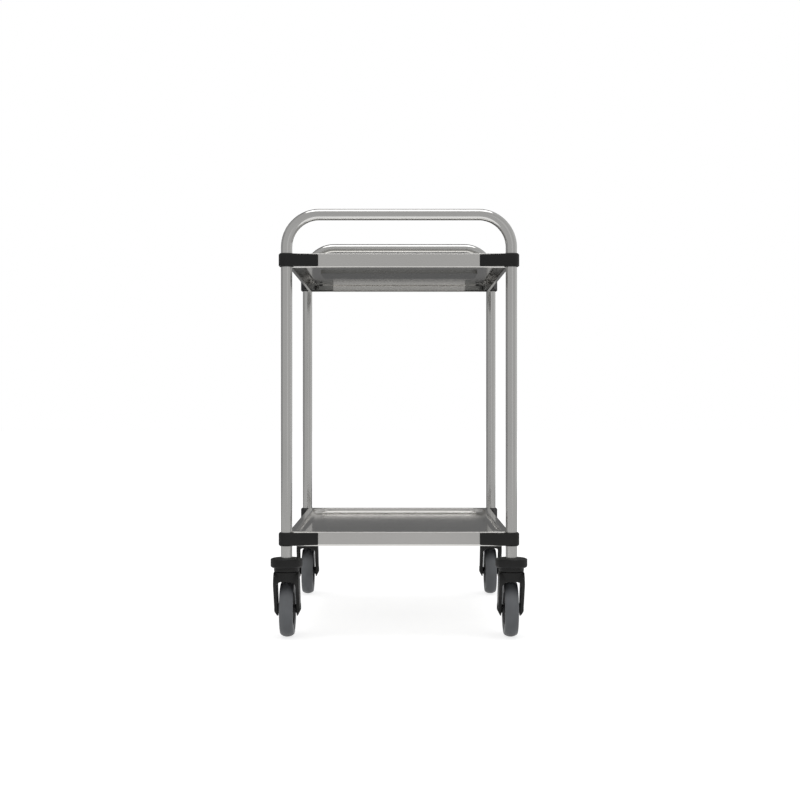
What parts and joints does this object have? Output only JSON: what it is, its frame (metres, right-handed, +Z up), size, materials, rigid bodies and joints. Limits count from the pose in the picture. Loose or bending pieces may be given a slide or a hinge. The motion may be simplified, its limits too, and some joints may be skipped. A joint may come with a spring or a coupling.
{
  "type": "serving trolley",
  "caption": "Steel serving trolley: tray-shaped shelves between bent-tube end frames with push handles, plastic corner bumpers and swivel casters.",
  "frame": {"origin": "on the floor, midway between the outermost points of the casters", "axes": "+Z up; +X across the trolley to the right when the front end faces the viewer; +Y along the trolley, away from the front end, the way the casters trail at rest"},
  "size_m": [0.5674, 0.8288, 0.95],
  "materials": {
    "tube_steel": "satin polished stainless tube",
    "shelf_steel": "fine brushed stainless sheet",
    "bumper_black": "fine-grained black moulded plastic",
    "bracket_grey": "grey die-cast",
    "fastener_steel": "bright zinc",
    "nut_black": "black oxide",
    "caster_black": "black glass-filled plastic",
    "core_grey": "dark grey moulded plastic",
    "tyre_grey": "grey non-marking rubber"
  },
  "bodies": {
    "root": {"front_frame": "tube_steel", "rear_frame": "tube_steel", "upper_shelf": "shelf_steel", "lower_shelf": "shelf_steel", "upper_stiffener": "shelf_steel", "lower_stiffener": "shelf_steel", "upper_front_left_bumper": "bumper_black", "upper_front_right_bumper": "bumper_black", "upper_rear_left_bumper": "bumper_black", "upper_rear_right_bumper": "bumper_black", "lower_front_left_bumper": "bumper_black", "lower_front_right_bumper": "bumper_black", "lower_rear_left_bumper": "bumper_black", "lower_rear_right_bumper": "bumper_black", "upper_front_left_bracket": "bracket_grey", "upper_front_right_bracket": "bracket_grey", "upper_rear_left_bracket": "bracket_grey", "upper_rear_right_bracket": "bracket_grey", "lower_front_left_bracket": "bracket_grey", "lower_front_right_bracket": "bracket_grey", "lower_rear_left_bracket": "bracket_grey", "lower_rear_right_bracket": "bracket_grey", "upper_frame_bolts": "fastener_steel", "lower_frame_bolts": "fastener_steel", "upper_stud_nuts": "nut_black", "lower_stud_nuts": "nut_black", "threaded_inserts": "fastener_steel", "swivel_pin_nuts": "fastener_steel", "front_left_caster_stem": "fastener_steel", "front_left_caster_housing": "caster_black", "front_right_caster_stem": "fastener_steel", "front_right_caster_housing": "caster_black", "rear_left_caster_stem": "fastener_steel", "rear_left_caster_housing": "caster_black", "rear_right_caster_stem": "fastener_steel", "rear_right_caster_housing": "caster_black"},
    "front_left_fork": {"front_left_caster_fork": "caster_black", "front_left_caster_bearing": "fastener_steel", "front_left_caster_axle": "fastener_steel"},
    "front_left_wheel": {"front_left_caster_core": "core_grey", "front_left_caster_tyre": "tyre_grey", "front_left_caster_bush": "fastener_steel"},
    "front_right_fork": {"front_right_caster_fork": "caster_black", "front_right_caster_bearing": "fastener_steel", "front_right_caster_axle": "fastener_steel"},
    "front_right_wheel": {"front_right_caster_core": "core_grey", "front_right_caster_tyre": "tyre_grey", "front_right_caster_bush": "fastener_steel"},
    "rear_left_fork": {"rear_left_caster_fork": "caster_black", "rear_left_caster_bearing": "fastener_steel", "rear_left_caster_axle": "fastener_steel"},
    "rear_left_wheel": {"rear_left_caster_core": "core_grey", "rear_left_caster_tyre": "tyre_grey", "rear_left_caster_bush": "fastener_steel"},
    "rear_right_fork": {"rear_right_caster_fork": "caster_black", "rear_right_caster_bearing": "fastener_steel", "rear_right_caster_axle": "fastener_steel"},
    "rear_right_wheel": {"rear_right_caster_core": "core_grey", "rear_right_caster_tyre": "tyre_grey", "rear_right_caster_bush": "fastener_steel"}
  },
  "joints": [
    {"name": "front_left_swivel", "type": "hinge", "parent": "root", "child": "front_left_fork", "pos_m": [-0.2485, -0.37912, 0.148], "axis": [0, 0, 1], "continuous": true},
    {"name": "front_left_roll", "type": "hinge", "parent": "front_left_fork", "child": "front_left_wheel", "pos_m": [-0.2485, -0.34813, 0.0625], "axis": [1, 0, 0], "continuous": true},
    {"name": "front_right_swivel", "type": "hinge", "parent": "root", "child": "front_right_fork", "pos_m": [0.2485, -0.37912, 0.148], "axis": [0, 0, 1], "continuous": true},
    {"name": "front_right_roll", "type": "hinge", "parent": "front_right_fork", "child": "front_right_wheel", "pos_m": [0.2485, -0.34813, 0.0625], "axis": [1, 0, 0], "continuous": true},
    {"name": "rear_left_swivel", "type": "hinge", "parent": "root", "child": "rear_left_fork", "pos_m": [-0.2485, 0.32088, 0.148], "axis": [0, 0, 1], "continuous": true},
    {"name": "rear_left_roll", "type": "hinge", "parent": "rear_left_fork", "child": "rear_left_wheel", "pos_m": [-0.2485, 0.35187, 0.0625], "axis": [1, 0, 0], "continuous": true},
    {"name": "rear_right_swivel", "type": "hinge", "parent": "root", "child": "rear_right_fork", "pos_m": [0.2485, 0.32088, 0.148], "axis": [0, 0, 1], "continuous": true},
    {"name": "rear_right_roll", "type": "hinge", "parent": "rear_right_fork", "child": "rear_right_wheel", "pos_m": [0.2485, 0.35187, 0.0625], "axis": [1, 0, 0], "continuous": true}
  ]
}
